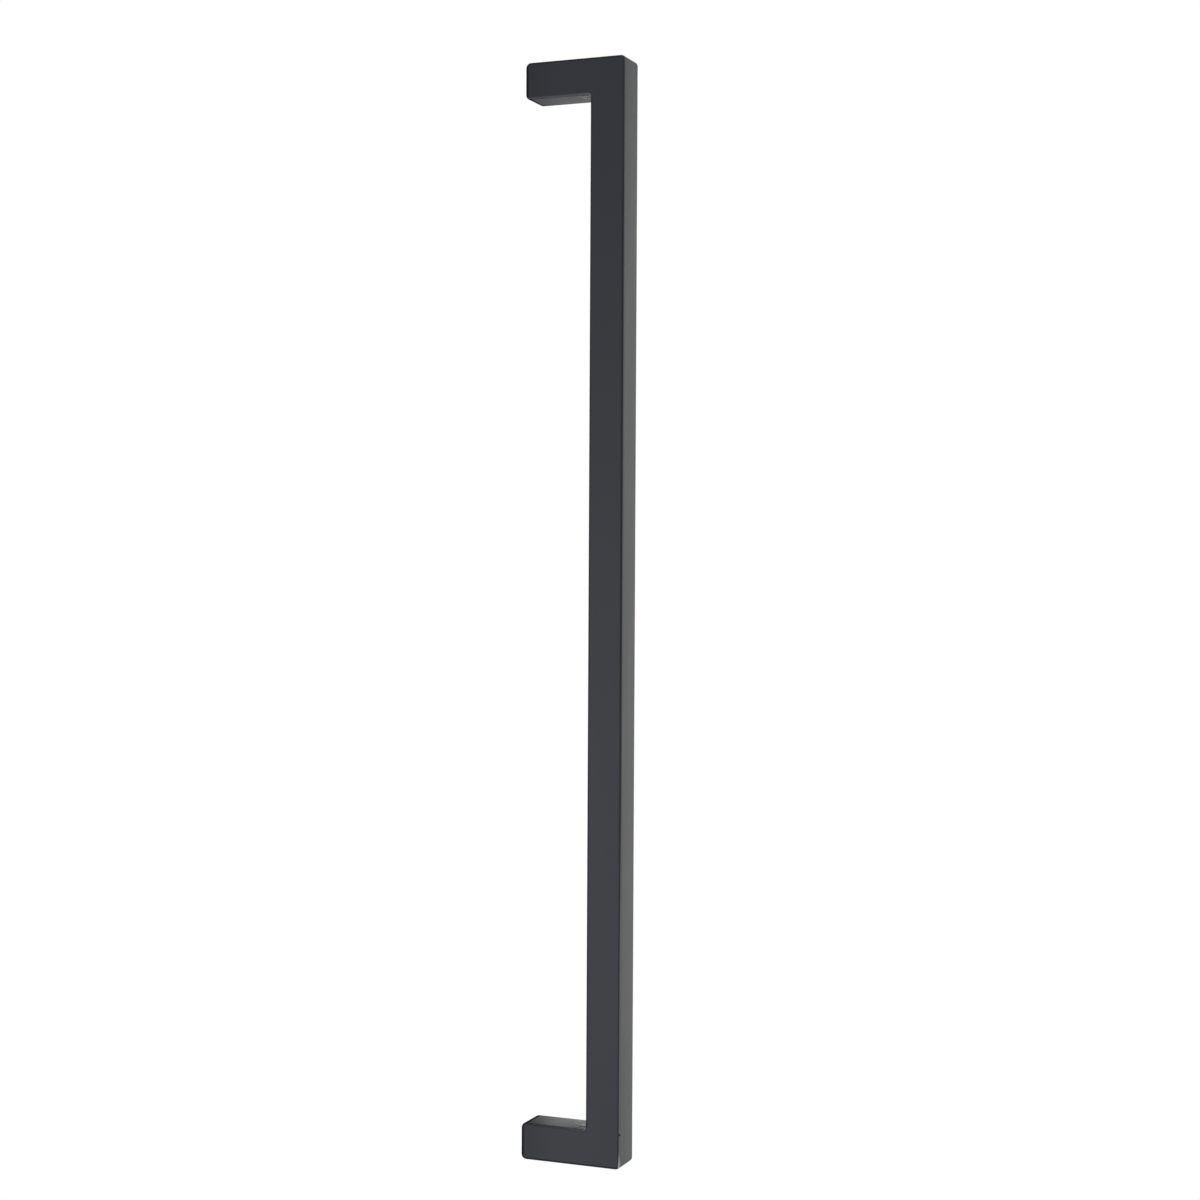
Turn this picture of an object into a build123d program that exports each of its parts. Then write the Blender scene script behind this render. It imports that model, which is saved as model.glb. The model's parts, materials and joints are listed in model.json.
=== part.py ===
from build123d import *
from math import radians, tan
import os

# Appliance pull: a square bar held off the door by a square leg at each end, all one solid piece.
# The feet stand on the door at Y = 0, the bar runs along Z and its front face looks towards -Y.
# The origin is on the door face, midway between the two screw holes. Sizes are in millimetres.

# Bar and legs
hole_spacing = 457.2  # from screw hole to screw hole, 18 in
bar_width = 15.875  # from side face to side face, 5/8 in
bar_depth = 15.875  # from the front face to the face behind the grip
leg_height = 15.875  # of each leg, along the bar
projection = 46.0  # from the door to the front face

# Rounding
edge_radius = 1.2  # along the outer edges
end_softening = 1.0  # added to that at the square corners of the outline
corner_radius = 1.2  # inside, where a leg meets the bar

# Blind tapped hole in the foot of each leg
thread_diameter = 4.17  # at the roots of the thread
thread_length = 14.0  # from the door to the last thread
drill_diameter = 3.45  # of the drilled hole below the thread
drill_tail = 5.0  # from the last thread to the point of the drill
drill_point_angle = 118.0
mouth_diameter = 5.0  # countersunk rim
mouth_angle = 90.0

# Small nick across the front edge of one side, near the lower end
nick_height = 15.1  # above the lower end
nick_width = 0.8  # along the edge
nick_reach = 1.0  # in from where the two faces would meet unrounded

# Worked out from the sizes above
half_length = (hole_spacing + leg_height) / 2
finger_gap = projection - bar_depth
end_radius = edge_radius + end_softening
hole_depth = thread_length + drill_tail
point_height = drill_diameter / 2 / tan(radians(drill_point_angle / 2))
door_face = Plane(origin=(0, 0, 0), x_dir=(1, 0, 0), z_dir=(0, 1, 0))

with BuildPart() as pull:
    # Side outline: a bar with a leg turned back at each end
    with BuildSketch(Plane.YZ) as outline:
        with Locations((-projection / 2, 0)):
            Rectangle(projection, 2 * half_length)
        with Locations((-finger_gap / 2, 0)):
            Rectangle(finger_gap, 2 * (half_length - leg_height), mode=Mode.SUBTRACT)
        fillet(outline.vertices().group_by(Axis.X)[1], corner_radius)
        ranks = outline.vertices().group_by(Axis.X)
        fillet(ranks[0] + ranks[-1], end_radius)
    extrude(amount=bar_width / 2, both=True)

    # Every edge round the two side faces is eased
    fillet(pull.faces().filter_by(Axis.X).edges(), edge_radius)

    # Countersunk, tapped and drilled holes, sunk from the door face
    with Locations(door_face):
        with GridLocations(0, hole_spacing, 1, 2):
            CounterSinkHole(thread_diameter / 2, mouth_diameter / 2, thread_length, mouth_angle)
            Hole(drill_diameter / 2, hole_depth)
    with Locations(door_face.offset(-hole_depth)):
        with GridLocations(0, hole_spacing, 1, 2):
            Cone(
                drill_diameter / 2,
                0,
                point_height,
                rotation=(180, 0, 0),
                align=(Align.CENTER, Align.CENTER, Align.MIN),
                mode=Mode.SUBTRACT,
            )

    # Nick
    with Locations((-bar_width / 2, -projection, nick_height - half_length)):
        Cylinder(nick_reach, nick_width, mode=Mode.SUBTRACT)

pull.part.label = "pull"
os.makedirs("parts", exist_ok=True)
export_step(pull.part, "parts/pull.step")
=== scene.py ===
"""Dresses the appliance pull: a square bar on two square legs, coated flat black.

The solid pull keeps its shape and gets its finish here. The fine screw threads in the two feet are
added, and the pull is lit and seen as in a plain white studio. All lengths are in metres.
"""

import json
import logging
import math
from dataclasses import dataclass
from enum import Enum
from functools import cached_property, reduce
from typing import Any, Optional, Union

import bpy
import numpy as np
from mathutils import Matrix, Vector


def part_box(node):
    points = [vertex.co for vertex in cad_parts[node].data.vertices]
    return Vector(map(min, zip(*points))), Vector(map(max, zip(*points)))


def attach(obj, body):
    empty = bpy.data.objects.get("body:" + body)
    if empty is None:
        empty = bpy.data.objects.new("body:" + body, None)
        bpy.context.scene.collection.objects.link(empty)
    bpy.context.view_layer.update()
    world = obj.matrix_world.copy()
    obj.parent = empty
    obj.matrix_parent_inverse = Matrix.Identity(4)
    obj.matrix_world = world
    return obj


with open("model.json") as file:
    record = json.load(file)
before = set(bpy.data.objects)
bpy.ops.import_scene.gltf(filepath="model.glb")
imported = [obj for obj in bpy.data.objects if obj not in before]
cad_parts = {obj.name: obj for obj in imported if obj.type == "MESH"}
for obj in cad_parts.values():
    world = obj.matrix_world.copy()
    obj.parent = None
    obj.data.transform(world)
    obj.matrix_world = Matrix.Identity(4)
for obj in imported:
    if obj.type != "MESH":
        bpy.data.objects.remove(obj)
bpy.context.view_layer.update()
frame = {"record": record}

MM = 0.001
INCH = 25.4 * MM
BODY = "root"
PULL = "pull"

# How far the painted shade and painted highlights along an edge reach from it
EDGE_REACH = 1.3 * MM
# How far from the level of a leg's inner face its painted shade, polish marks and painted highlights
# reach
LEG_SKIN = 1.6 * MM

Colour = tuple[float, float, float]
Point = tuple[float, float, float]
Span = tuple[float, float]

log = logging.getLogger(PULL)


class Foot(Enum):
    """The pull's two feet, by the sign of their height."""

    UPPER = 1
    LOWER = -1


class Ray(Enum):
    """Kinds of ray that see the studio's white instead of its light, by Light Path output."""

    CAMERA = "Is Camera Ray"
    GLOSSY = "Is Glossy Ray"
    TRANSMISSION = "Is Transmission Ray"


class Value:
    """A number that varies over a surface, wrapped so that Python operators add Math nodes."""

    def __init__(self, graph: "Graph", socket: bpy.types.NodeSocket) -> None:
        """Keeps the socket and the graph that it belongs to."""
        self.graph = graph
        self.socket = socket

    def __add__(self, other: "Number") -> "Value":
        """This value plus another."""
        return self.graph.math("ADD", self, other)

    def __radd__(self, other: "Number") -> "Value":
        """A number plus this value."""
        return self.graph.math("ADD", other, self)

    def __sub__(self, other: "Number") -> "Value":
        """This value less another."""
        return self.graph.math("SUBTRACT", self, other)

    def __rsub__(self, other: "Number") -> "Value":
        """A number less this value."""
        return self.graph.math("SUBTRACT", other, self)

    def __mul__(self, other: "Number") -> "Value":
        """This value times another."""
        return self.graph.math("MULTIPLY", self, other)

    def __rmul__(self, other: "Number") -> "Value":
        """A number times this value."""
        return self.graph.math("MULTIPLY", other, self)

    def __pow__(self, other: "Number") -> "Value":
        """This value to a power."""
        return self.graph.math("POWER", self, other)

    def __abs__(self) -> "Value":
        """This value without its sign."""
        return self.graph.math("ABSOLUTE", self)

    def least(self, other: "Number") -> "Value":
        """The smaller of this value and another."""
        return self.graph.math("MINIMUM", self, other)

    def most(self, other: "Number") -> "Value":
        """The larger of this value and another."""
        return self.graph.math("MAXIMUM", self, other)

    def ease(self, start: float, end: float) -> "Value":
        """Rises smoothly from 0 where this value is start to 1 where it is end.

        Args:
            start: The value that gives 0, which may be the larger of the two.
            end: The value that gives 1.

        Returns:
            The eased value, from 0 to 1.
        """
        return self.graph.node(
            "ShaderNodeMapRange",
            settings={"interpolation_type": "SMOOTHSTEP"},
            inputs={"Value": self, "From Min": start, "From Max": end},
        )


Number = Union[Value, float]
Tint = Union[Value, Colour]


class Graph:
    """The node tree of a material or the world, filled one node at a time."""

    def __init__(self, tree: bpy.types.NodeTree) -> None:
        """Empties the tree."""
        self.tree = tree
        tree.nodes.clear()

    def add(
        self,
        kind: str,
        settings: Optional[dict[str, Any]] = None,
        inputs: Optional[dict[str, Any]] = None,
    ) -> bpy.types.Node:
        """Adds one node.

        Args:
            kind: The node's type name.
            settings: The node's own properties, set before its sockets.
            inputs: By socket identifier, a Value to link or a plain value to set.

        Returns:
            The node.
        """
        made = self.tree.nodes.new(kind)
        for name, setting in (settings or {}).items():
            setattr(made, name, setting)
        sockets = {socket.identifier: socket for socket in made.inputs}
        for name, given in (inputs or {}).items():
            if isinstance(given, Value):
                self.tree.links.new(given.socket, sockets[name])
            else:
                sockets[name].default_value = given
        return made

    def node(self, kind: str, output: Optional[str] = None, **given: Any) -> Value:
        """Adds one node and takes one of its outputs.

        Args:
            kind: The node's type name.
            output: Identifier of the output wanted, or None for the first.
            given: The node's settings and inputs, as for add.

        Returns:
            The output wanted.
        """
        made = self.add(kind, **given)
        outputs = {socket.identifier: socket for socket in made.outputs}
        return Value(self, outputs[output] if output else made.outputs[0])

    def math(self, operation: str, first: Number, second: Number = 0.0) -> Value:
        """Adds a Math node.

        Args:
            operation: The node's operation.
            first: Its first number.
            second: Its second number, where the operation takes two.

        Returns:
            The result.
        """
        return self.node(
            "ShaderNodeMath",
            settings={"operation": operation},
            inputs={"Value": first, "Value_001": second},
        )

    def blend(self, share: Number, colour: Tint, other: Tint) -> Value:
        """Mixes two colours.

        Args:
            share: How much of the second colour, from 0 to 1.
            colour: The first colour, as numbers or a Value.
            other: The second colour.

        Returns:
            The mixed colour.
        """
        pair = [item if isinstance(item, Value) else (*item, 1.0) for item in (colour, other)]
        return self.node(
            "ShaderNodeMix",
            output="Result_Color",
            settings={"data_type": "RGBA"},
            inputs={"Factor_Float": share, "A_Color": pair[0], "B_Color": pair[1]},
        )

    def position(self) -> Value:
        """The place on the surface in the object's own coordinates."""
        return self.node("ShaderNodeTexCoord", output="Object")

    def axes(self, place: Value) -> tuple[Value, Value, Value]:
        """Splits a place into its three coordinates.

        Args:
            place: The vector to split.

        Returns:
            Its X, Y and Z.
        """
        split = self.add("ShaderNodeSeparateXYZ", inputs={"Vector": place})
        x, y, z = (Value(self, socket) for socket in split.outputs)
        return x, y, z

    def noise(self, place: Value, grain: Point, detail: float = 2.0) -> Value:
        """Cloudy noise about 0, from about -1 to 1.

        Args:
            place: Where the noise is read.
            grain: Size of its patches along X, Y and Z.
            detail: Number of finer octaves.

        Returns:
            The noise.
        """
        scaled = self.node(
            "ShaderNodeVectorMath",
            settings={"operation": "DIVIDE"},
            inputs={"Vector": place, "Vector_001": grain},
        )
        cloud = self.node(
            "ShaderNodeTexNoise",
            inputs={"Vector": scaled, "Scale": 1.0, "Detail": detail},
        )
        return cloud * 2.0 - 1.0


@dataclass(frozen=True)
class PullSizes:
    """The pull's sizes, taken from the frame.

    Attributes:
        half_width: From the middle to a side face.
        projection: From the door to the front face.
        half_length: From the middle to an end face.
        hole_height: From the middle to a screw hole.
        hole_radius: Of the tapped hole, at the roots of its thread.
    """

    half_width: float
    projection: float
    half_length: float
    hole_height: float
    hole_radius: float

    @classmethod
    def from_frame(cls) -> "PullSizes":
        """Reads the pull's box and the mount at its screw holes.

        Returns:
            The sizes.
        """
        low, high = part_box(PULL)
        mounts = {mount["name"]: mount for mount in frame["record"]["mounts"]}
        holes = mounts["door_screws"]["dims"]
        return cls(
            half_width=high[0],
            projection=-low[1],
            half_length=high[2],
            hole_height=holes["spacing_y_mm"] * MM / 2,
            hole_radius=holes["hole_r_mm"] * MM,
        )

    @property
    def grip_back(self) -> float:
        """Y of the bar's back face, which looks into the finger gap, since the bar is as deep as it is
        wide.
        """
        return 2 * self.half_width - self.projection

    @property
    def leg_inside(self) -> float:
        """Height of the face of a leg that looks into the finger gap."""
        return 2 * self.hole_height - self.half_length


class PullMap:
    """Where a point of the surface lies on the pull, in values that its finish can use."""

    def __init__(self, graph: Graph, sizes: PullSizes) -> None:
        """Adds the point's coordinates, and how squarely it faces along X, Y and Z, to the graph.

        Args:
            graph: The graph to add to.
            sizes: The pull's sizes.
        """
        self.graph = graph
        self.sizes = sizes
        self.place = graph.position()
        self.x, self.y, self.z = graph.axes(self.place)
        self.height = abs(self.z)
        normal = graph.node("ShaderNodeTexCoord", output="Normal")
        self.facing_x, self.facing_y, self.facing_z = (abs(part) for part in graph.axes(normal))

    @cached_property
    def upper(self) -> Value:
        """1 on the pull's upper half, 0 on its lower half."""
        return self.z.ease(0.0, MM)

    @cached_property
    def from_front(self) -> Value:
        """How far the point is behind the front face."""
        return self.y + self.sizes.projection

    @cached_property
    def from_leg_inside(self) -> Value:
        """How far the point is from the level of the nearer leg's inner face."""
        return abs(self.height - self.sizes.leg_inside)

    @cached_property
    def from_corner(self) -> Value:
        """How far the point is from the corner between the bar and the nearer leg."""
        from_bar = self.y - self.sizes.grip_back
        return (from_bar * from_bar + self.from_leg_inside * self.from_leg_inside) ** 0.5

    @cached_property
    def from_edge(self) -> Value:
        """How far the point is from the nearest outer edge.

        Its distances to the side, front, end, foot and gap faces are taken one by one. The point
        lies on the face that is nearest, so the second nearest tells how far the edge is.

        Returns:
            The distance.
        """
        side = self.sizes.half_width - abs(self.x)
        end = self.sizes.half_length - self.height
        foot = self.y * -1.0
        gap = (self.sizes.grip_back - self.y).most(self.height - self.sizes.leg_inside)
        along_side = side.most(self.from_front.least(end).least(foot).least(gap))
        across = self.from_front.most(end).least(end.most(foot)).least(foot.most(gap))
        return along_side.least(across)

    def from_front_edge(self, rise: float) -> Value:
        """How far the point is from a spot on the front edge that has the nick.

        Args:
            rise: Height of the spot above the pull's lower end.

        Returns:
            The distance.
        """
        spot = (-self.sizes.half_width, -self.sizes.projection, rise - self.sizes.half_length)
        return self.graph.node(
            "ShaderNodeVectorMath",
            output="Value",
            settings={"operation": "DISTANCE"},
            inputs={"Vector": self.place, "Vector_001": spot},
        )


@dataclass(frozen=True)
class PaintedShade:
    """Painted shade: where the coating is made darker and less shiny, in shares from 0 for satin to 1
    for fully shaded.

    Attributes:
        edge_reach: Distance from an edge at which its painted shade begins.
        edge_core: Distance from an edge at which its painted shade is full.
        edge: Share along the edges.
        rim_reach: Distance from the door at which the rims round the feet begin to be shaded.
        rim_core: Distance from the door at which their painted shade is full.
        rim_inside: How much further the rims reach on the legs' inner faces.
        rim_facing: How squarely the rims face the door where they begin to be spared, and where
            they are spared fully.
        rim: Share on the rims.
        foot_reach: Distance from the door at which the painted shade on the legs begins.
        foot: Share on the legs by the door.
        foot_inside: Share added to that on their inner faces.
        foot_upper: Share added to that on the upper leg's inner face.
        inside_skin: Distance from the level of an inner face at which its painted shade begins.
        inside_facing: How squarely a point faces up or down where it begins to count as part of
            an inner face, and where it counts fully.
        inside_aslant: Share on the inner faces towards the side with the nick.
        inside_upper: Share added to that on the upper leg's.
        front: Share on the front face.
        front_aslant: Share added to that towards the edge with the nick.
        front_streaks: Share by which the front's lengthwise streaks go up and down.
        streak: Size of the streaks along X, Y and Z.
        line: Share in a line of painted shade beside the front face, where the rounding still faces
            sideways.
        line_height: Of the middle of that line, above the pull's middle.
        line_core: Distance from its middle at which the line begins to fade.
        line_reach: Distance from its middle at which the line ends.
        line_facing: How squarely a point faces sideways where the line begins, and where it is full.
        nick_height: Of the nick in a front edge, above the pull's lower end.
        nick_core: Distance from the nick at which the painted shade in its dent begins to fade.
        nick_reach: Distance from the nick at which that painted shade ends.
    """

    edge_reach: float = EDGE_REACH
    edge_core: float = 0.7 * MM
    edge: float = 0.42
    rim_reach: float = 2.1 * MM
    rim_core: float = 1.0 * MM
    rim_inside: float = 1.4 * MM
    rim_facing: Span = (0.55, 0.9)
    rim: float = 0.55
    foot_reach: float = 17.0 * MM
    foot: float = 0.14
    foot_inside: float = 0.40
    foot_upper: float = -0.20
    inside_skin: float = LEG_SKIN
    inside_facing: Span = (0.6, 0.95)
    inside_aslant: float = 0.38
    inside_upper: float = -0.26
    front: float = 0.02
    front_aslant: float = 0.08
    front_streaks: float = 0.12
    streak: Point = (1.3 * MM, 1.3 * MM, 90.0 * MM)
    line: float = 0.30
    line_height: float = 85.0 * MM
    line_core: float = 60.0 * MM
    line_reach: float = 150.0 * MM
    line_facing: Span = (0.75, 0.95)
    nick_height: float = 15.1 * MM
    nick_core: float = 0.51 * MM
    nick_reach: float = 0.85 * MM

    def amount(self, where: PullMap) -> Value:
        """How far painted shade darkens the coating at a point.

        Args:
            where: The point.

        Returns:
            0 for the satin coating, 1 for the fully shaded one.
        """
        half_width = where.sizes.half_width
        foot = where.y.ease(-self.foot_reach, 0.0)
        edge = where.from_edge.ease(self.edge_reach, self.edge_core)
        front = where.from_front.ease(self.edge_reach, 0.0)
        beside_front = where.from_front.ease(2 * self.edge_reach, self.edge_reach)
        line = abs(where.z - self.line_height).ease(self.line_reach, self.line_core)
        inside = where.from_leg_inside.ease(self.inside_skin, 0.0)
        inside_face = inside * where.facing_z.ease(*self.inside_facing)
        rim = (where.y + self.rim_inside * inside_face).ease(-self.rim_reach, -self.rim_core)
        streaks = where.graph.noise(where.place, self.streak)
        aslant = where.x.ease(half_width, -half_width)
        # Painted shade in the nick's dent: a dark spot round it.
        nick = where.from_front_edge(self.nick_height).ease(self.nick_reach, self.nick_core)

        # Painted shade along the edges, round the feet by the door, in a line beside the front face, on
        # the legs near the door, on their inner faces and on the front face.
        on_edge = self.edge * edge * (1.0 - beside_front.most(inside))
        on_rim = self.rim * rim * (1.0 - where.facing_y.ease(*self.rim_facing))
        on_line = self.line * line * edge * beside_front * where.facing_x.ease(*self.line_facing)
        on_foot = foot * (self.foot + inside_face * (self.foot_inside + self.foot_upper * where.upper))
        on_front = front * (self.front + self.front_aslant * aslant + self.front_streaks * streaks)
        on_inside = inside_face * aslant * (self.inside_aslant + self.inside_upper * where.upper)
        shade_sum = on_edge + on_rim + on_line + on_foot + on_inside + on_front
        return shade_sum.most(nick).most(0.0).least(1.0)


@dataclass(frozen=True)
class PolishAndHighlights:
    """Polish marks on the legs' inner faces beside the bar, lightened as painted highlights, and
    painted highlights along edges.

    Attributes:
        corner_core: Distance from the lower inner corner at which its marks begin to fade.
        corner_reach: Distance from the lower inner corner at which its marks end.
        upper_shrink: Share by which distances from the upper corner count for more.
        leg_core: Distance from the level of a leg's inner face at which its polish marks and painted
            highlights begin to fade.
        leg_skin: Distance from the level of a leg's inner face at which they end.
        leg_facing: How squarely a point faces up or down where the polish marks and painted highlights
            on an inner face and its edges begin, and where they are full.
        mark_facing: The same for the marks, which keep to the face.
        lump: Size of the marks' lumps along X, Y and Z.
        scratch: Size of their scratches along X, Y and Z.
        lump_share: Strength of the lumps in the marks.
        scratch_share: Strength of the scratches in the marks.
        mark_levels: Sum of lumps and scratches at which a mark begins, and at which it is full.
        gap: Share of painted shade, a darker and less shiny coat, between the marks.
        edge_core: Distance from an edge at which its painted highlight begins to fade.
        edge_reach: Distance from an edge at which its painted highlight ends.
        leg_highlight: Painted highlight along the edges of a leg's inner face.
        leg_highlight_upper: Painted highlight added to that on the upper leg.
        leg_highlight_corner: Painted highlight added to that beside the bar.
        front_highlight: Painted highlight along the edges of the front face.
        front_highlight_core: Distance from the level of the front face at which that begins to fade.
        front_highlight_facing: How squarely a point faces forwards where that begins, and where it is
            full.
        front_highlight_turn: How much further round those edges the painted highlight goes near the
            lower end.
        front_highlight_low: Heights where the turn begins and where it is full, in shares of the half
            length.
        glint: Painted highlight added at the lower end of the edge with the nick.
        glint_turn: How much further round that edge the painted highlight goes there.
        glint_height: Of the place where that highlight is strongest, above the lower end.
        glint_reach: How far from there that highlight shows.
    """

    corner_core: float = 1.3 * MM
    corner_reach: float = 13.0 * MM
    upper_shrink: float = 0.5
    leg_core: float = 0.32 * MM
    leg_skin: float = LEG_SKIN
    leg_facing: Span = (0.1, 0.5)
    mark_facing: Span = (0.5, 0.85)
    lump: Point = (1.3 * MM, 2.6 * MM, 1.3 * MM)
    scratch: Point = (0.45 * MM, 4.0 * MM, 0.8 * MM)
    lump_share: float = 1.2
    scratch_share: float = 0.8
    mark_levels: Span = (-0.2, 0.4)
    gap: float = 0.35
    edge_core: float = 0.52 * MM
    edge_reach: float = EDGE_REACH
    leg_highlight: float = 0.12
    leg_highlight_upper: float = 0.26
    leg_highlight_corner: float = 0.25
    front_highlight: float = 0.88
    front_highlight_core: float = 0.39 * MM
    front_highlight_facing: Span = (0.72, 0.9)
    front_highlight_turn: float = 0.18
    front_highlight_low: Span = (-0.3, -0.65)
    glint: float = 0.40
    glint_turn: float = 0.21
    glint_height: float = 0.5 * MM
    glint_reach: float = 7.5 * MM

    def marks(self, where: PullMap) -> tuple[Value, Value, Value]:
        """The marks on a leg's inner face, which fade away from the bar.

        Args:
            where: The point.

        Returns:
            How far the marks lighten the coating as painted highlights, how far painted shade darkens
            it between them, and their height from -1 to 1.
        """
        graph = where.graph
        flat = where.facing_z.ease(*self.mark_facing)
        share = self.near_corner(where) * self.on_leg(where) * flat
        lumps = graph.noise(where.place, self.lump)
        scratches = graph.noise(where.place, self.scratch)
        roughened = self.lump_share * lumps + self.scratch_share * scratches
        light = roughened.ease(*self.mark_levels)
        return share * light, self.gap * share * (1.0 - light), share * lumps

    def edge_highlights(self, where: PullMap) -> Value:
        """How far a painted highlight lightens the coating along the edges of the legs' inner faces and
        of the front face.

        Args:
            where: The point.

        Returns:
            0 for the coating as it was, 1 for fully lightened.
        """
        # Painted highlights on the roundings of the legs' inner faces and of the front face, strongest
        # at the lower end of the edge with the nick.
        rounding = where.from_edge.ease(self.edge_reach, self.edge_core)
        beside = self.leg_highlight_corner * self.near_corner(where)
        leg_edge_highlight = self.on_leg(where) * (self.leg_highlight + self.leg_highlight_upper * where.upper + beside)
        low = where.z.ease(*(share * where.sizes.half_length for share in self.front_highlight_low))
        glint_share = self.glint_share(where)
        further = self.front_highlight_turn * low + self.glint_turn * glint_share
        turned = (where.facing_y + further).ease(*self.front_highlight_facing)
        front = where.from_front.ease(self.edge_reach, self.front_highlight_core)
        front_edge_highlight = front * turned * (self.front_highlight + self.glint * glint_share)
        return rounding * leg_edge_highlight.most(front_edge_highlight)

    def glint_share(self, where: PullMap) -> Value:
        """1 where the painted highlight at the lower end of the edge with the nick is strongest,
        falling to 0 where it ends.
        """
        return where.from_front_edge(self.glint_height).ease(self.glint_reach, 0.0)

    def near_corner(self, where: PullMap) -> Value:
        """1 in an inner corner, falling to 0 where its marks end."""
        distance = where.from_corner * (1.0 + self.upper_shrink * where.upper)
        return distance.ease(self.corner_reach, self.corner_core)

    def on_leg(self, where: PullMap) -> Value:
        """1 on a leg's inner face and the edges round it, 0 elsewhere."""
        level = where.from_leg_inside.ease(self.leg_skin, self.leg_core)
        return level * where.facing_z.ease(*self.leg_facing)


@dataclass(frozen=True)
class FlatBlack:
    """Flat black coating: satin on the faces, darker and less shiny under painted shade, and lighter at
    polish marks and painted highlights.

    Attributes:
        colour: Of the coating.
        cloudiness: Share by which its colour is lighter in clouds.
        shaded_colour: Of the coating under painted shade.
        polish_and_highlight_colour: Of the coating at polish marks and painted highlights.
        glint_colour: Of the painted highlight at the lower end of the edge with the nick.
        roughness: Of the coating.
        cloud_roughness: Roughness that the clouds add or take away.
        shaded_roughness: Of the coating under painted shade.
        marked_roughness: Of the coating at polish marks and painted highlights.
        ior: Of the coating.
        shaded_sheen: Strength of the reflection under painted shade, where 0.5 is full.
        cloud: Size of the clouds along X, Y and Z.
        grain: Size of the coating's grain.
        grain_height: Of the grain, from low to high.
        peel: Size of the coating's gentle waves.
        peel_height: Of the waves, from low to high.
        mark_height: Of the polish marks, from low to high.
        painted_shade: Where painted shade darkens the coating.
        polish_and_highlights: Where polish marks and painted highlights lighten the coating.
    """

    colour: Colour = (0.0056, 0.0079, 0.0136)
    cloudiness: float = 0.25
    shaded_colour: Colour = (0.0040, 0.0043, 0.0052)
    polish_and_highlight_colour: Colour = (0.1600, 0.1600, 0.1640)
    glint_colour: Colour = (0.3900, 0.3900, 0.3900)
    roughness: float = 0.46
    cloud_roughness: float = 0.03
    shaded_roughness: float = 0.85
    marked_roughness: float = 0.32
    ior: float = 1.38
    shaded_sheen: float = 0.10
    cloud: Point = (14.0 * MM, 14.0 * MM, 40.0 * MM)
    grain: float = 0.35 * MM
    grain_height: float = 0.012 * MM
    peel: float = 3.2 * MM
    peel_height: float = 0.010 * MM
    mark_height: float = 0.065 * MM
    painted_shade: PaintedShade = PaintedShade()
    polish_and_highlights: PolishAndHighlights = PolishAndHighlights()

    def material(self, sizes: PullSizes) -> bpy.types.Material:
        """Makes the coating's material.

        Args:
            sizes: The pull's sizes.

        Returns:
            The material.
        """
        made = bpy.data.materials.new("satin_black")
        made.use_nodes = True
        graph = Graph(made.node_tree)
        where = PullMap(graph, sizes)

        cloud = graph.noise(where.place, self.cloud, detail=3.0)
        grain = graph.noise(where.place, (self.grain,) * 3, detail=1.0)
        peel = graph.noise(where.place, (self.peel,) * 3, detail=1.0)
        # Painted highlights: the polish marks, the roundings of the edges and the lower end of the edge
        # with the nick are lightened towards pale grey.
        mark_highlights, shade_between_marks, lumps = self.polish_and_highlights.marks(where)
        light = mark_highlights.most(self.polish_and_highlights.edge_highlights(where))
        glint_share = self.polish_and_highlights.glint_share(where)
        light_colour = graph.blend(glint_share, self.polish_and_highlight_colour, self.glint_colour)
        # Painted shade: here the coating is mixed towards a darker, less shiny coat, also between the
        # polish marks.
        darkened = (self.painted_shade.amount(where) + shade_between_marks).least(1.0)

        clouded = tuple((1.0 + self.cloudiness) * part for part in self.colour)
        base = graph.blend(0.5 + 0.5 * cloud, self.colour, clouded)
        smoothing = (self.marked_roughness - self.roughness) * light
        height = (
            grain * (self.grain_height / 2)
            + peel * (self.peel_height / 2)
            + lumps * (self.mark_height / 2)
        )
        bump = graph.node("ShaderNodeBump", inputs={"Strength": 1.0, "Distance": 1.0, "Height": height})
        satin = graph.node(
            "ShaderNodeBsdfPrincipled",
            inputs={
                "Base Color": graph.blend(light, base, light_colour),
                "Roughness": self.roughness + self.cloud_roughness * cloud + smoothing,
                "Normal": bump,
                "IOR": self.ior,
            },
        )
        # The darker, less shiny coat that paints shade.
        shaded = graph.node(
            "ShaderNodeBsdfPrincipled",
            inputs={
                "Base Color": (*self.shaded_colour, 1.0),
                "Roughness": self.shaded_roughness,
                "Normal": bump,
                "IOR": self.ior,
                "Specular IOR Level": self.shaded_sheen,
            },
        )
        mixed = graph.node(
            "ShaderNodeMixShader",
            inputs={"Fac": darkened, "Shader": satin, "Shader_001": shaded},
        )
        graph.add("ShaderNodeOutputMaterial", inputs={"Surface": mixed})
        return made


@dataclass(frozen=True)
class CutBrass:
    """Brass left bare by the tap inside the screw holes.

    Attributes:
        colour: Of the cut metal.
        tarnish: Of the metal where it has dulled.
        roughness: Of the cut metal.
        tarnish_roughness: Roughness added where it has dulled.
        patch: Size of the dulled patches.
        patch_levels: Noise at which a patch begins, and at which it is full.
    """

    colour: Colour = (0.62, 0.47, 0.22)
    tarnish: Colour = (0.22, 0.15, 0.07)
    roughness: float = 0.34
    tarnish_roughness: float = 0.2
    patch: float = 0.8 * MM
    patch_levels: Span = (-0.4, 0.6)

    def material(self) -> bpy.types.Material:
        """Makes the metal's material.

        Returns:
            The material.
        """
        made = bpy.data.materials.new("cut_brass")
        made.use_nodes = True
        graph = Graph(made.node_tree)
        patches = graph.noise(graph.position(), (self.patch,) * 3, detail=3.0)
        darkened = patches.ease(*self.patch_levels)
        shader = graph.node(
            "ShaderNodeBsdfPrincipled",
            inputs={
                "Base Color": graph.blend(darkened, self.colour, self.tarnish),
                "Roughness": self.roughness + self.tarnish_roughness * darkened,
                "Metallic": 1.0,
            },
        )
        graph.add("ShaderNodeOutputMaterial", inputs={"Surface": shader})
        return made


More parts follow.
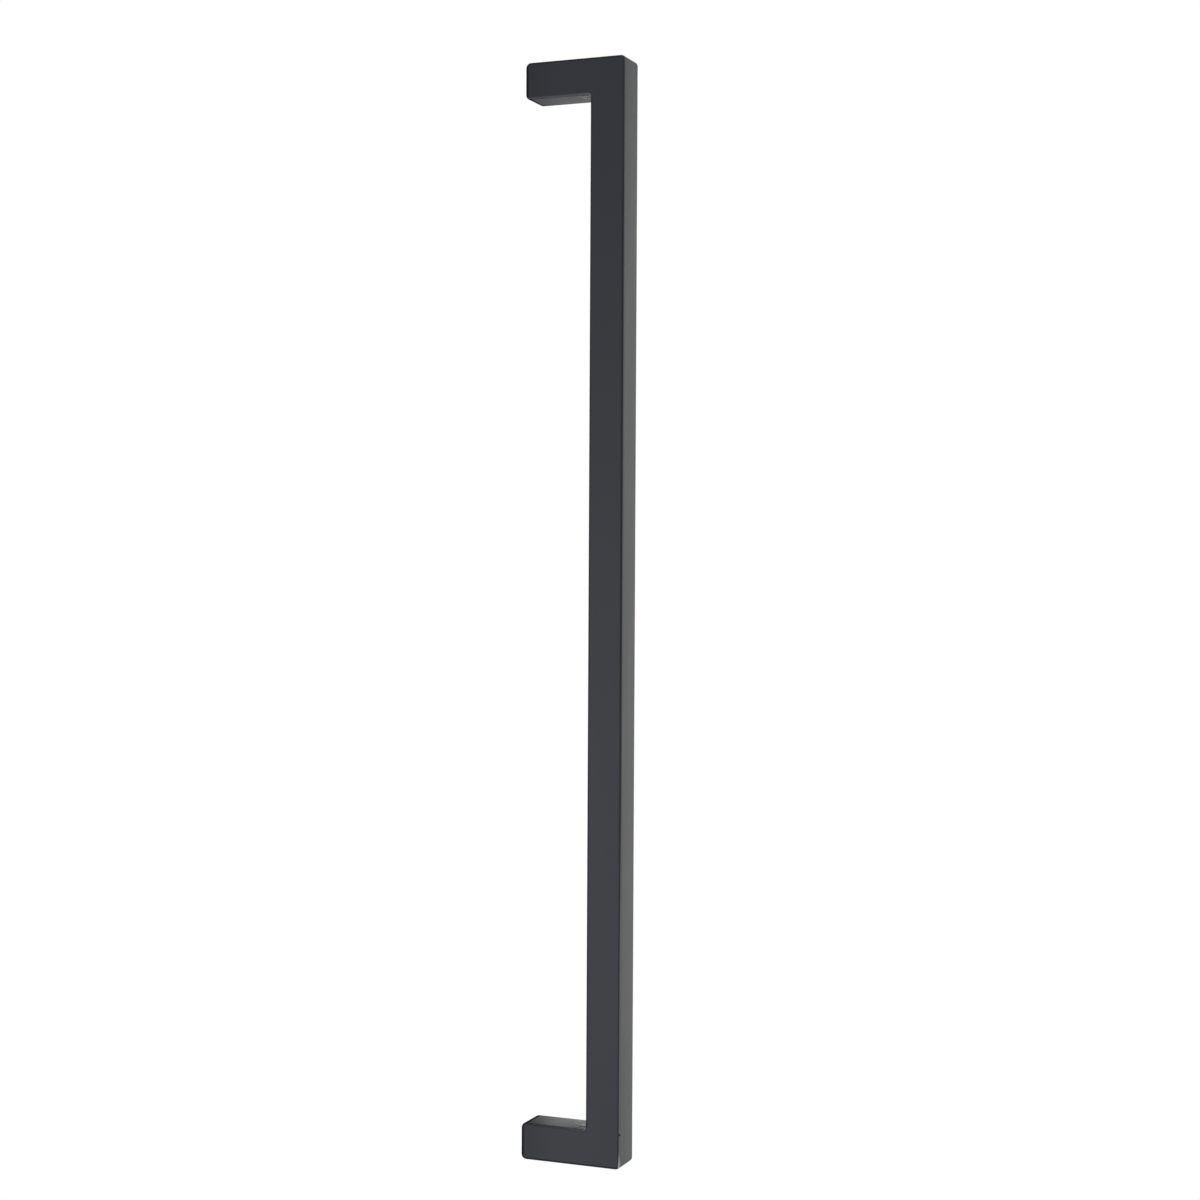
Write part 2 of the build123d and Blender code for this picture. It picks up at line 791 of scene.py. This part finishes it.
def seen_white(graph: Graph) -> Value:
    """Tells the rays that see the studio's white from those that carry its light.

    Args:
        graph: The graph to add to.

    Returns:
        1 for a ray that sees white, otherwise 0.
    """
    rays = [graph.node("ShaderNodeLightPath", output=ray.value) for ray in Ray]
    return reduce(Value.most, rays)


@dataclass(frozen=True)
class PaleFloor:
    """Plain pale floor, which fades to white far from the pull.

    Attributes:
        colour: Of the floor.
        roughness: Of the floor.
        fade_start: Distance from the pull where it begins to turn white.
        fade_end: Distance from the pull where it is white.
    """

    colour: Colour = (0.86, 0.86, 0.86)
    roughness: float = 0.9
    fade_start: float = 0.8
    fade_end: float = 2.2

    def material(self) -> bpy.types.Material:
        """Makes the floor's material.

        Returns:
            The material.
        """
        made = bpy.data.materials.new("pale_floor")
        made.use_nodes = True
        graph = Graph(made.node_tree)
        place = graph.position()
        x, y, _ = graph.axes(place)
        far = ((x * x + y * y) ** 0.5).ease(self.fade_start, self.fade_end)
        floor = graph.node(
            "ShaderNodeBsdfPrincipled",
            inputs={
                "Base Color": (*self.colour, 1.0),
                "Roughness": self.roughness,
                "Specular IOR Level": 0.0,
            },
        )
        white = graph.node("ShaderNodeEmission", inputs={"Strength": 1.0})
        mixed = graph.node(
            "ShaderNodeMixShader",
            inputs={"Fac": far * seen_white(graph), "Shader": floor, "Shader_001": white},
        )
        graph.add("ShaderNodeOutputMaterial", inputs={"Surface": mixed})
        return made


def surface_mesh(name: str, points: np.ndarray, quads: np.ndarray) -> bpy.types.Object:
    """Puts a surface's points and faces into a new object at the origin.

    Args:
        name: The object's name.
        points: Places of the points, one row each.
        quads: Point numbers of the faces, one row of four each.

    Returns:
        The object, in the scene.
    """
    mesh = bpy.data.meshes.new(name)
    mesh.from_pydata(points.tolist(), [], quads.tolist())
    mesh.update()
    made = bpy.data.objects.new(name, mesh)
    bpy.context.scene.collection.objects.link(made)
    return made


@dataclass
class PullBody:
    """The pull itself, one solid piece that needs only its finish.

    Attributes:
        sizes: The pull's sizes.
        finish: Of its surface.
    """

    sizes: PullSizes
    finish: FlatBlack

    def dress(self) -> bpy.types.Object:
        """Gives the solid its finish.

        Returns:
            The pull.
        """
        body = bpy.data.objects[PULL]
        coating = self.finish.material(self.sizes)
        for slot in body.material_slots:
            slot.material = coating
        return body


@dataclass
class ScrewThread:
    """The ridge of the screw thread in one foot's tapped hole.

    Attributes:
        foot: The foot that the hole is in.
        sizes: The pull's sizes.
        metal: Material of the cut thread.
        pitch: From one turn of the ridge to the next.
        crest_radius: From the hole's middle to the top of the ridge.
        mouth_radius: Of the countersunk rim, cut at 45 degrees.
        length: From the foot's face to the last thread.
        flank_angle: Between each flank and the straight way out of the wall.
        root_share: Share of the pitch that stays bare between two turns.
        sunk: Depth to which the ridge is sunk in the wall.
        steps: Grid steps to a turn.
        rise: Turns that the ridge takes to rise from the wall at each end.
    """

    foot: Foot
    sizes: PullSizes
    metal: bpy.types.Material
    pitch: float = INCH / 32
    crest_radius: float = 1.725 * MM
    mouth_radius: float = 2.5 * MM
    length: float = 14.0 * MM
    flank_angle: float = math.radians(30.0)
    root_share: float = 1 / 8
    sunk: float = 0.02 * MM
    steps: int = 48
    rise: float = 0.4

    def surface(self) -> tuple[np.ndarray, np.ndarray]:
        """Carries the ridge's four-cornered profile along a right-hand helix.

        A point at turn t and offset s along the hole lies at depth start + pitch t + s. Its radius
        is the wall's less the ridge's height there, which rises from nothing at both ends of the
        helix, and is never less than the countersink leaves.

        Returns:
            The points and the faces.
        """
        wall = self.sizes.hole_radius
        base = (1 - self.root_share) * self.pitch / 2
        crest = base - (wall - self.crest_radius) * math.tan(self.flank_angle)
        offsets = np.array([-base, -crest, crest, base])
        heights = np.array([0.0, 1.0, 1.0, 0.0])

        start = self.mouth_radius - wall + base
        turns = (self.length - start - base) / self.pitch
        turn = np.linspace(0.0, turns, round(turns * self.steps) + 1)[:, None]
        risen = np.clip(np.minimum(turn, turns - turn) / self.rise, 0.0, 1.0)
        risen = risen * risen * (3 - 2 * risen)

        depth = start + self.pitch * turn + offsets
        radius = wall + self.sunk - (wall + self.sunk - self.crest_radius) * risen * heights
        radius = np.maximum(radius, np.minimum(self.mouth_radius - depth, wall + self.sunk))
        angle = 2 * math.pi * turn
        points = np.stack(
            [
                -radius * np.sin(angle),
                -depth,
                self.foot.value * self.sizes.hole_height + radius * np.cos(angle),
            ],
            axis=-1,
        ).reshape(-1, 3)

        rows, columns = depth.shape
        row, column = np.meshgrid(np.arange(rows - 1), np.arange(columns), indexing="ij")
        following = (column + 1) % columns
        quads = np.stack(
            [
                row * columns + column,
                row * columns + following,
                (row + 1) * columns + following,
                (row + 1) * columns + column,
            ],
            axis=-1,
        ).reshape(-1, 4)
        first = np.arange(columns)[None, ::-1]
        last = (rows - 1) * columns + np.arange(columns)[None, :]
        return points, np.concatenate([quads, first, last])

    def build(self) -> bpy.types.Object:
        """Makes the ridge, rides it on the pull and gives it its finish.

        Returns:
            The ridge.
        """
        ridge = surface_mesh(f"{self.foot.name.lower()}_thread", *self.surface())
        ridge.data.shade_smooth()
        ridge.data.set_sharp_from_angle(angle=self.flank_angle)
        ridge.data.materials.append(self.metal)
        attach(ridge, BODY)
        return ridge


@dataclass(frozen=True)
class SoftBox:
    """One square lamp, aimed at the middle of the pull.

    Attributes:
        name: Of the lamp.
        azimuth: Round the pull from straight in front, in degrees.
        elevation: Above the middle of the pull, in degrees.
        distance: From the middle of the pull.
        size: Length of its sides.
        strength: Its brightness, where 1 is that of the white studio.
        colour: Of its light.
    """

    name: str
    azimuth: float
    elevation: float
    distance: float
    size: float
    strength: float
    colour: Colour

    def build(self) -> bpy.types.Object:
        """Makes the lamp, which the camera doesn't see.

        Returns:
            The lamp.
        """
        data = bpy.data.lights.new(self.name, "AREA")
        data.shape = "SQUARE"
        data.size = self.size
        data.energy = self.strength * math.pi * self.size**2
        data.color = self.colour
        lamp = bpy.data.objects.new(self.name, data)
        aim = Matrix.Rotation(math.radians(self.azimuth), 4, "Z")
        tilt = Matrix.Rotation(math.radians(90.0 - self.elevation), 4, "X")
        lamp.matrix_world = aim @ tilt @ Matrix.Translation((0.0, 0.0, self.distance))
        lamp.visible_camera = False
        bpy.context.scene.collection.objects.link(lamp)
        return lamp


LEFT_BOX = SoftBox(
    name="left_box",
    azimuth=-114.0,
    elevation=-13.0,
    distance=1.3,
    size=0.95,
    strength=2.0,
    colour=(0.95, 0.96, 1.0),
)
RIGHT_BOX = SoftBox(
    name="right_box",
    azimuth=66.0,
    elevation=-2.0,
    distance=1.5,
    size=1.3,
    strength=0.88,
    colour=(0.98, 1.0, 0.90),
)
REAR_BOX = SoftBox(
    name="rear_box",
    azimuth=114.0,
    elevation=22.0,
    distance=1.5,
    size=0.8,
    strength=1.2,
    colour=(1.0, 1.0, 1.0),
)


@dataclass
class Studio:
    """Plain white studio: a pale floor far below, white all round, and soft light.

    Attributes:
        floor_drop: From the middle of the pull down to the floor.
        floor_size: Length of the floor's sides.
        floor_finish: Of the floor.
        light_level: Strength of the even light all round.
        lamps: The soft boxes.
    """

    floor_drop: float = 1.1
    floor_size: float = 16.0
    floor_finish: PaleFloor = PaleFloor()
    light_level: float = 0.7
    lamps: tuple[SoftBox, ...] = (LEFT_BOX, RIGHT_BOX, REAR_BOX)

    def build_floor(self) -> bpy.types.Object:
        """Lays the floor, one square.

        Returns:
            The floor.
        """
        reach = np.array([-1.0, 1.0]) * self.floor_size / 2
        x, y = np.meshgrid(reach, reach)
        points = np.stack([x, y, np.full_like(x, -self.floor_drop)], axis=-1).reshape(-1, 3)
        floor = surface_mesh("floor", points, np.array([[0, 1, 3, 2]]))
        floor.data.materials.append(self.floor_finish.material())
        return floor

    def build_world(self) -> bpy.types.World:
        """Surrounds the pull with even light that is seen as white.

        Returns:
            The world.
        """
        world = bpy.data.worlds.new("studio")
        world.use_nodes = True
        graph = Graph(world.node_tree)
        strength = self.light_level + (1.0 - self.light_level) * seen_white(graph)
        shader = graph.node(
            "ShaderNodeBackground",
            inputs={"Color": (1.0, 1.0, 1.0, 1.0), "Strength": strength},
        )
        graph.add("ShaderNodeOutputWorld", inputs={"Surface": shader})
        bpy.context.scene.world = world
        return world


@dataclass
class PhotoCamera:
    """The camera that sees the pull as the photograph does.

    Attributes:
        azimuth: Round the pull from straight in front, in degrees.
        distance: From the pull's axis.
        height: Above the middle of the pull.
        yaw: Turn to the right of the pull's axis, in degrees.
        pitch: Tilt upwards, in degrees.
        roll: Turn anticlockwise about the line of sight, in degrees.
        focal_pixels: Focal length, in pixels of the photograph.
        image_pixels: Width of the photograph.
        sensor: Width of the sensor, in millimetres as Blender takes it.
    """

    azimuth: float = -65.969
    distance: float = 943.977 * MM
    height: float = 20.165 * MM
    yaw: float = 1.8318
    pitch: float = -0.8779
    roll: float = 0.2828
    focal_pixels: float = 2169.95
    image_pixels: float = 1200.0
    sensor: float = 36.0

    def build(self) -> bpy.types.Object:
        """Places the camera and makes it the scene's own.

        Returns:
            The camera.
        """
        data = bpy.data.cameras.new("photo_camera")
        data.sensor_width = self.sensor
        data.lens = self.sensor * self.focal_pixels / self.image_pixels
        camera = bpy.data.objects.new("photo_camera", data)
        bpy.context.scene.collection.objects.link(camera)
        upright = Matrix.Rotation(math.pi / 2, 4, "X")
        azimuth = Matrix.Rotation(math.radians(self.azimuth), 4, "Z")
        place = azimuth @ Vector((0.0, -self.distance, self.height))
        yaw = Matrix.Rotation(-math.radians(self.yaw), 4, "Y")
        pitch = Matrix.Rotation(math.radians(self.pitch), 4, "X")
        roll = Matrix.Rotation(math.radians(self.roll), 4, "Z")
        camera.matrix_world = Matrix.Translation(place) @ azimuth @ upright @ yaw @ pitch @ roll
        bpy.context.scene.camera = camera
        return camera


def main() -> None:
    """Builds every piece in order."""
    logging.basicConfig(level=logging.INFO, format="%(name)s: %(message)s")
    sizes = PullSizes.from_frame()
    body = PullBody(sizes, FlatBlack()).dress()
    log.info("%s dressed", body.name)
    brass = CutBrass().material()
    for foot in Foot:
        thread = ScrewThread(foot, sizes, brass).build()
        log.info("%s built, %d faces", thread.name, len(thread.data.polygons))
    studio = Studio()
    log.info("%s laid", studio.build_floor().name)
    log.info("%s lit", studio.build_world().name)
    for box in studio.lamps:
        log.info("%s hung", box.build().name)
    log.info("%s set", PhotoCamera().build().name)
    bpy.context.scene.view_settings.view_transform = "Standard"


if __name__ == "__main__":
    main()
